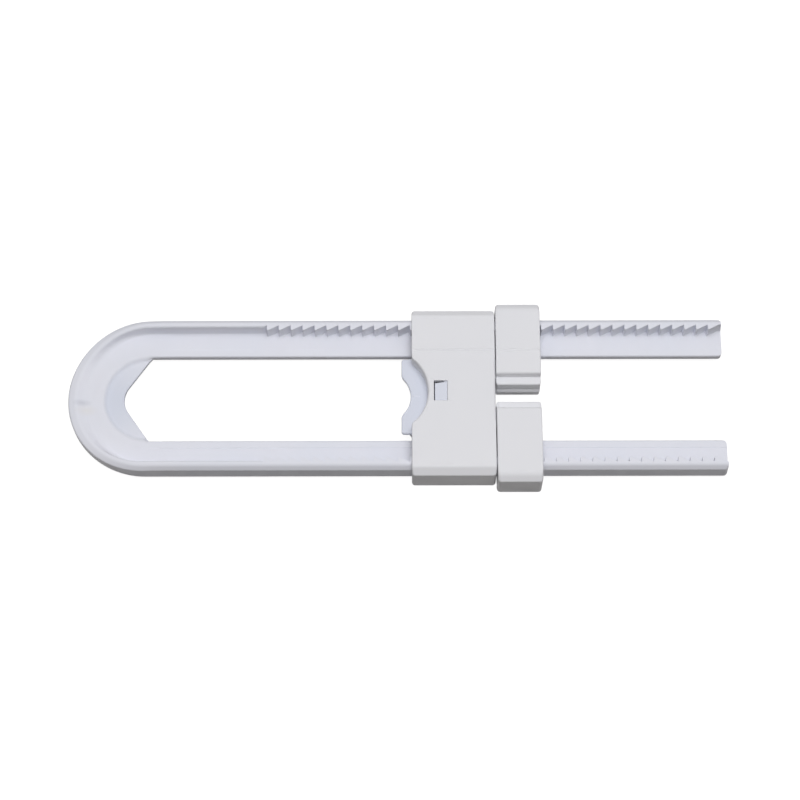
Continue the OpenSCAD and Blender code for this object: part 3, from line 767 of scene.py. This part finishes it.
# The cap's side view carried along the leg: ledge, hollow, outer wall, bevel, front with its sink line
def capShells(sinkDepth):
    low, high = boxOf("upper_button_cap")
    inner, outer, top = low[1], high[1], high[2]
    outside = outer - button["wall"]
    small, level, ceiling = button["small"], button["ledgeLevel"], button["ceiling"]
    sinkA, sinkB = button["sinkAt"] - button["sinkWidth"], button["sinkAt"] + button["sinkWidth"]
    corners = [
        (inner, level), (button["pawlRoot"], level), (button["pawlRoot"], ceiling),
        (outside, ceiling), (outside, 0), (outer, 0),
        (outer, top - button["bevelDrop"]), (outer - button["bevelWidth"], top),
        (sinkB, top), (button["sinkAt"], top - sinkDepth), (sinkA, top),
        (inner + button["innerLean"], top),
    ]
    radii = [small, small / 2, small, small, small, button["footEdge"], button["bevelEdge"],
             button["bevelSoft"], small, small, small, button["innerEdge"]]
    outerCorners = [0, 0, 0, 0, 0, 1, 1, 1, 0, 0, 0, 0]
    return [bar(corners, radii, low[0], high[0], button["edge"], "x", steps=8,
                outer=outerCorners, corner=button["corner"])]


# Pawl teeth seen from the front: steep face, then a ramp back to the root, for each tooth
def pawlOutline(left, face):
    root, body = button["pawlRoot"], button["pawlBody"]
    steep = face - bow["pitch"] * np.arange(button["pawlTeeth"])
    rampEnd = steep - bow["pitch"] + button["mesh"] + bow["tip"]
    rampEnd = np.maximum(rampEnd, left + button["pawlInset"])
    teeth = np.stack([
        np.stack([steep, np.full(len(steep), root)], -1),
        np.stack([steep, np.full(len(steep), button["pawlTop"])], -1),
        np.stack([rampEnd, np.full(len(steep), root)], -1),
    ], 1).reshape(-1, 2)
    right = face + button["pawlLap"]
    back = root - body
    return np.concatenate([[(right, back), (right, root)], teeth, [(left, root), (left, back)]])


# A block with a round blind hole in its inner face: rings of the block's rectangle and of the hole's
# circle share the same directions, so one grid runs over the back, the sides, the face and the hole
def carriageShell():
    x0 = boxOf("upper_pawl_carrier")[0][0]
    x1 = x0 + button["carriage"]
    (y0, y1), (z0, z1) = button["carriageY"], button["carriageZ"]
    edge, sides, pocketEdge = button["carriageEdge"], button["pocketSides"], button["pocketEdge"]
    turn = np.linspace(0, 2 * np.pi, sides, endpoint=False) + np.pi / 4  # from a corner on
    cosine, sine = np.cos(turn), np.sin(turn)
    stretch = 1 / np.maximum(np.abs(cosine), np.abs(sine))
    square = np.stack([cosine * stretch * (x1 - x0) / 2, sine * stretch * (z1 - z0) / 2], -1)
    circle = np.stack([cosine, sine], -1) * button["pocketRadius"]
    inset = 1 - 2 * edge / np.array([x1 - x0, z1 - z0])
    wider = 1 + pocketEdge / button["pocketRadius"]
    rings = np.stack([square * inset, square, square, square * inset, circle * wider, circle, circle])
    levels = np.array([y1, y1 - edge, y0 + edge, y0, y0, y0 + pocketEdge, y0 + button["pocketDepth"]])
    grid = np.stack([
        (x0 + x1) / 2 + rings[..., 0],
        np.broadcast_to(levels[:, None], rings.shape[:2]),
        (z0 + z1) / 2 + rings[..., 1],
    ], -1)
    return tube(grid)


# The middle layer: ledge, pawl teeth, guiding arm and the carriage that seats the spring
def carrierShells():
    low, high = boxOf("upper_button_cap")
    carrierLow = boxOf("upper_pawl_carrier")[0]
    inner, small, layer = carrierLow[1], button["small"], button["backLayer"]
    left, right = low[0], high[0]
    level, root, base = button["ledgeLevel"], button["pawlRoot"], button["pawlBase"]
    corners = [(inner, layer), (root, layer), (root, level), (inner, level)]
    radii = [small, small, small, button["ledgeEdge"]]
    innerCorners = [-1, 0, 0, -1]
    ledge = bar(corners, radii, left, right, button["edge"], "x", steps=8,
                outer=innerCorners, corner=button["innerCorner"])
    teeth = pawlOutline(left + button["pawlInset"], left + button["pawlSetback"])
    pawlEdge = button["pawlEdge"]
    pawl = bar(teeth, [pawlEdge] * len(teeth), base, level - pawlEdge, pawlEdge, "z", steps=4)
    armX = carrierLow[0] + button["carriage"] - button["armRoot"]
    armLow = (armX, button["arm"][0], layer + pawlEdge)
    armHigh = (left + button["armReach"], button["arm"][1], button["armTop"])
    return [ledge, pawl, block(armLow, armHigh, small, small, "x"), carriageShell()]


# The back layer: its inner end leans back above and below the parting line
def backShells():
    low, high = boxOf("upper_button_back")
    inner, outer = boxOf("upper_pawl_carrier")[0][1], high[1]
    passage, layer, plateTop = button["legPassage"], button["backLayer"], button["backPlate"]
    corners = [
        (inner, 0), (outer, 0), (outer, plateTop), (passage, plateTop), (passage, layer),
        (inner, layer), (low[1], button["partingLevel"]),
    ]
    radii = [button["small"]] * (len(corners) - 1) + [button["partingEdge"]]
    innerCorners = [-1, 0, 0, 0, 0, -1, -1]
    return [bar(corners, radii, low[0], high[0], button["edge"], "x",
                outer=innerCorners, corner=button["innerCorner"])]


def makeButtons():
    upperCap, lowerCap = [capShells(depth) for depth in button["sinkDepth"]]
    carrier, back = carrierShells(), backShells()
    layers = [
        ("Cap", "button_cap", upperCap, lowerCap),
        ("PawlCarrier", "pawl_carrier", carrier, carrier),
        ("ButtonBack", "button_back", back, back),
    ]
    for layer, node, upper, lower in layers:
        for side, shells in (("upper", upper), ("lower", mirrored(lower))):
            makePiece(side + layer, shells, side + "_button", [side + "_" + node],
                      shellPlastic)


makeButtons()


# Springs: a round wire carried up a helix

spring = {"wire": 0.5, "turns": 7, "stepsPerTurn": 28, "sides": 10, "seat": 1.0, "travel": 2.0}


# The wire's middle is at (x + radius * cosine, rise, z + radius * sine), and its own circle lies
# in the radial and the Y direction; sign -1 gives the lower spring
def springShell(low, high, sign):
    wire = spring["wire"] / 2
    radius = (high[0] - low[0]) / 2 - wire
    x, _, z = (low + high) / 2
    steps = spring["turns"] * spring["stepsPerTurn"] + 1
    turn = np.linspace(0, 2 * np.pi * spring["turns"], steps)[:, None]
    around = np.linspace(0, 2 * np.pi, spring["sides"], endpoint=False)
    rise = np.linspace(low[1] + wire, high[1] - wire, steps)[:, None]
    reach = radius + wire * np.cos(around)
    grid = np.stack([
        x + sign * reach * np.cos(turn),
        sign * (rise + wire * np.sin(around)),
        z + reach * np.sin(turn),
    ], -1)
    return tube(grid)


def makeSprings():
    low, high = boxOf("upper_spring")
    for side, sign in (("upper", 1), ("lower", -1)):
        piece = makePiece(side + "Spring", [springShell(low, high, sign)], "slider", [side + "_spring"],
                          springSteel)
        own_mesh(piece)


makeSprings()


# Camera, floor and light

view = {
    "tilt": 20.64, "turn": -0.108, "lens": 100.52, "distance": 680.0, "target": (1.14, -0.83, 5.0),
    "nearest": 10.0, "farthest": 20000.0,
}
light = {
    "key": 4.35, "keyPlace": (60, 60, 1000), "keySize": (500, 500), "colour": (0.96, 0.97, 1.0),
    "soft": 3.2, "softPlace": (50, 50, 1000), "softSize": (3000, 1300), "world": (0.28, 0.27, 0.26),
}
stage = {"half": 3000.0, "below": 0.2, "glow": 0.9, "bounce": (0.08, 0.075, 0.07), "shade": 0.35}


def makeCamera():  # it looks at the target from the tilt and the turn
    tilt, turn = np.radians(view["tilt"]), np.radians(view["turn"])
    aside = np.sin(tilt)
    back = np.array([aside * np.sin(turn), -aside * np.cos(turn), np.cos(tilt)]) * view["distance"]
    data = bpy.data.cameras.new("camera")
    data.lens = view["lens"]
    data.clip_start, data.clip_end = view["nearest"] * mm, view["farthest"] * mm
    camera = bpy.data.objects.new("camera", data)
    camera.location = (np.array(view["target"]) + back) * mm
    camera.rotation_euler = (tilt, 0, turn)
    bpy.context.scene.collection.objects.link(camera)
    bpy.context.scene.camera = camera


def areaLight(name, place, size, strength):  # an oblong lamp that looks at the middle of the lock
    data = bpy.data.lights.new(name, "AREA")
    data.shape = "RECTANGLE"
    data.size, data.size_y = np.array(size) * mm
    data.energy = strength
    data.color = light["colour"]
    lamp = bpy.data.objects.new(name, data)
    lamp.location = np.array(place) * mm
    lamp.rotation_mode = "QUATERNION"
    lamp.rotation_quaternion = (-Vector(place)).to_track_quat("-Z", "Y")
    bpy.context.scene.collection.objects.link(lamp)


# White to the camera and in reflections, apart from the lock's own shadow; darker as a bounce
def floorMaterial():
    material, nodes, links, shader = newMaterial("paleFloor")
    out = nodes["Material Output"]
    nodes.remove(shader)
    path = nodes.new("ShaderNodeLightPath")
    seen = path.outputs["Is Camera Ray"]
    for ray in ("Is Glossy Ray", "Is Transmission Ray"):
        either = nodes.new("ShaderNodeMath")
        either.operation = "MAXIMUM"
        links.new(seen, either.inputs[0])
        links.new(path.outputs[ray], either.inputs[1])
        seen = either.outputs["Value"]
    bounce = nodes.new("ShaderNodeBsdfDiffuse")
    bounce.inputs["Color"].default_value = (*stage["bounce"], 1)
    shade = nodes.new("ShaderNodeBsdfDiffuse")
    shade.inputs["Color"].default_value = (stage["shade"],) * 3 + (1,)
    glow = nodes.new("ShaderNodeEmission")
    glow.inputs["Strength"].default_value = stage["glow"]
    both = nodes.new("ShaderNodeAddShader")
    links.new(shade.outputs["BSDF"], both.inputs[0])
    links.new(glow.outputs["Emission"], both.inputs[1])
    mix = nodes.new("ShaderNodeMixShader")
    links.new(seen, mix.inputs["Fac"])
    links.new(bounce.outputs["BSDF"], mix.inputs[1])
    links.new(both.outputs["Shader"], mix.inputs[2])
    links.new(mix.outputs["Shader"], out.inputs["Surface"])
    return material


def makeStage():  # floor, two lamps and a plain world
    half, level = stage["half"] * mm, -stage["below"] * mm
    corners = [(-half, -half, level), (half, -half, level), (half, half, level), (-half, half, level)]
    mesh = bpy.data.meshes.new("floor")
    mesh.from_pydata(corners, [], [(0, 1, 2, 3)])
    floor = bpy.data.objects.new("floor", mesh)
    mesh.materials.append(floorMaterial())
    bpy.context.scene.collection.objects.link(floor)
    areaLight("keyLight", light["keyPlace"], light["keySize"], light["key"])
    areaLight("softLight", light["softPlace"], light["softSize"], light["soft"])
    world = bpy.data.worlds.new("world")
    world.use_nodes = True
    world.node_tree.nodes["Background"].inputs["Color"].default_value = (*light["world"], 1)
    bpy.context.scene.world = world
    bpy.context.scene.view_settings.view_transform = "Standard"


makeCamera()
makeStage()
print("camera, floor and light ready")
